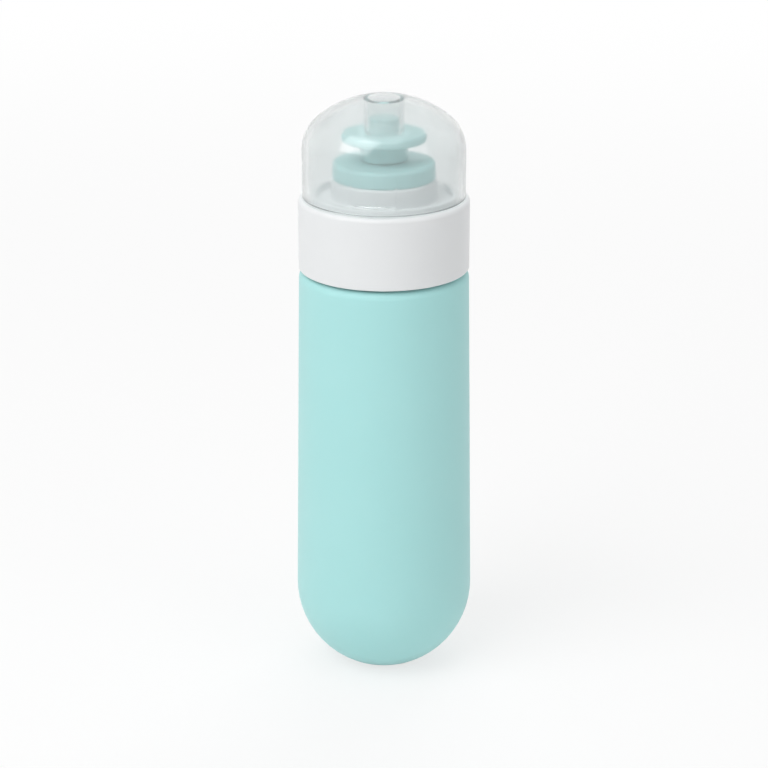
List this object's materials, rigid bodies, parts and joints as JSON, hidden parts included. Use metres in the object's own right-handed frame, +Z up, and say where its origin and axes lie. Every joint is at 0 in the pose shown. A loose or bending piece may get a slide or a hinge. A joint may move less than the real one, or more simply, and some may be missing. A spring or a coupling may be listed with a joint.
{
  "type": "travel silicone bottle",
  "caption": "Soft silicone travel bottle with a round bottom, a white screw closure with a slit-valve spout, and a clear domed flip lid on a pin hinge.",
  "frame": {"origin": "centre of the flat face that the bottle stands on", "axes": "+Z up along the bottle's axis, -Y to the front with the lid's thumb tab, +Y to the hinge"},
  "size_m": [0.0436, 0.0436, 0.1444],
  "materials": {
    "body_silicone": "soft matte mint-green silicone",
    "neck_plastic": "natural polypropylene",
    "washer_silicone": "translucent white silicone",
    "closure_plastic": "white moulded polypropylene, satin",
    "valve_silicone": "mint-green silicone",
    "lid_plastic": "clear moulded plastic",
    "pin_steel": "stainless steel"
  },
  "bodies": {
    "bottle": {"squeeze_body": "body_silicone", "neck_insert": "neck_plastic"},
    "washer": {"sealing_washer": "washer_silicone"},
    "closure": {"screw_closure": "closure_plastic", "valve": "valve_silicone", "valve_retainer": "neck_plastic", "hinge_pin": "pin_steel"},
    "lid": {"flip_lid": "lid_plastic", "lid_stopper": "valve_silicone"}
  },
  "joints": [
    {"name": "closure_lift", "type": "slide", "parent": "bottle", "child": "washer", "axis": [0, 0, 1], "range_m": [0, 0.00635]},
    {"name": "closure_turn", "type": "hinge", "parent": "washer", "child": "closure", "pos_m": [0, 0, 0.1178], "axis": [0, 0, 1], "range_deg": [0, 540]},
    {"name": "lid_flip", "type": "hinge", "parent": "closure", "child": "lid", "pos_m": [0, 0.0192, 0.1224], "axis": [-1, 0, 0], "range_deg": [0, 140]}
  ],
  "couplings": [
    {"joint": "closure_lift", "follows": "closure_turn", "m_per_rad": 0.00067371}
  ]
}
